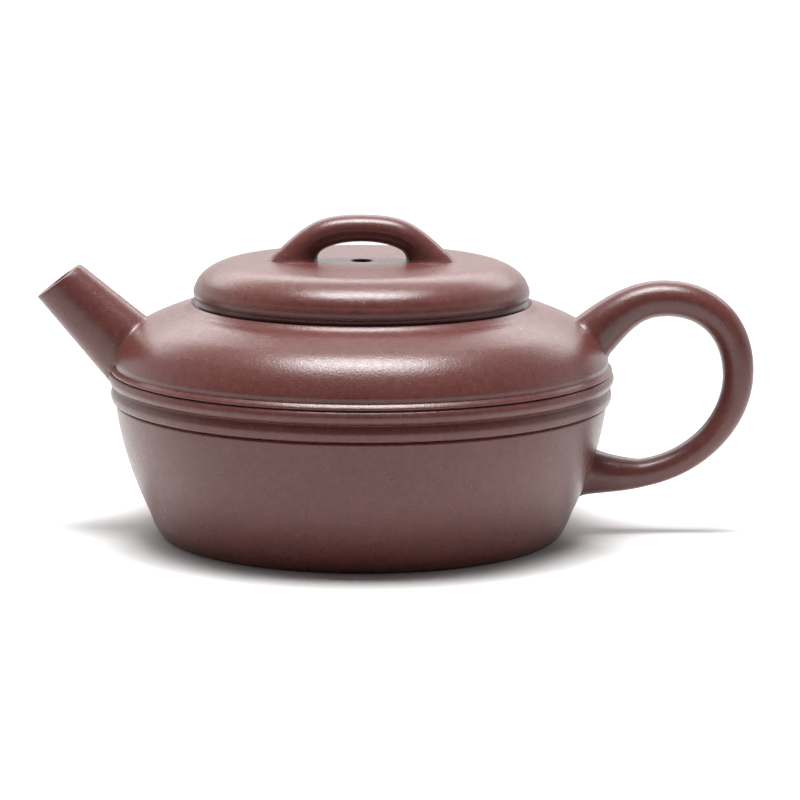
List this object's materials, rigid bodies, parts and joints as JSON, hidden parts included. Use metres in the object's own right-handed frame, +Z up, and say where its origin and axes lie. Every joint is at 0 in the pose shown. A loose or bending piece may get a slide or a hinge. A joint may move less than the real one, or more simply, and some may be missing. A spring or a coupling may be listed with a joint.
{
  "type": "yixing clay teapot",
  "caption": "Low round stoneware teapot with a ribbed waist, straight tapered spout, ear-shaped loop handle and a lift-off lid with a bridge knob.",
  "frame": {"origin": "centre of the flat face that the pot rests on, on the axis of the round body", "axes": "+Z up along the body's axis, +X from the spout towards the handle, +Y to the pot's side"},
  "size_m": [0.1428, 0.1006, 0.0639],
  "materials": {
    "clay": "satin"
  },
  "bodies": {
    "pot": {"base_plate": "clay", "lower_wall": "clay", "shoulder": "clay", "rib_lower": "clay", "rib_middle": "clay", "rib_upper": "clay", "mouth_ring": "clay", "spout": "clay", "strainer": "clay", "handle": "clay"},
    "lid_ring": {"lid_flange": "clay"},
    "lid": {"lid_top": "clay", "lid_seat": "clay", "lid_knob": "clay"}
  },
  "joints": [
    {"name": "lid_lift", "type": "slide", "parent": "pot", "child": "lid_ring", "axis": [0, 0, 1], "range_m": [0, 0.06]},
    {"name": "lid_turn", "type": "hinge", "parent": "lid_ring", "child": "lid", "pos_m": [0, 0, 0.0475], "axis": [0, 0, 1], "continuous": true}
  ]
}
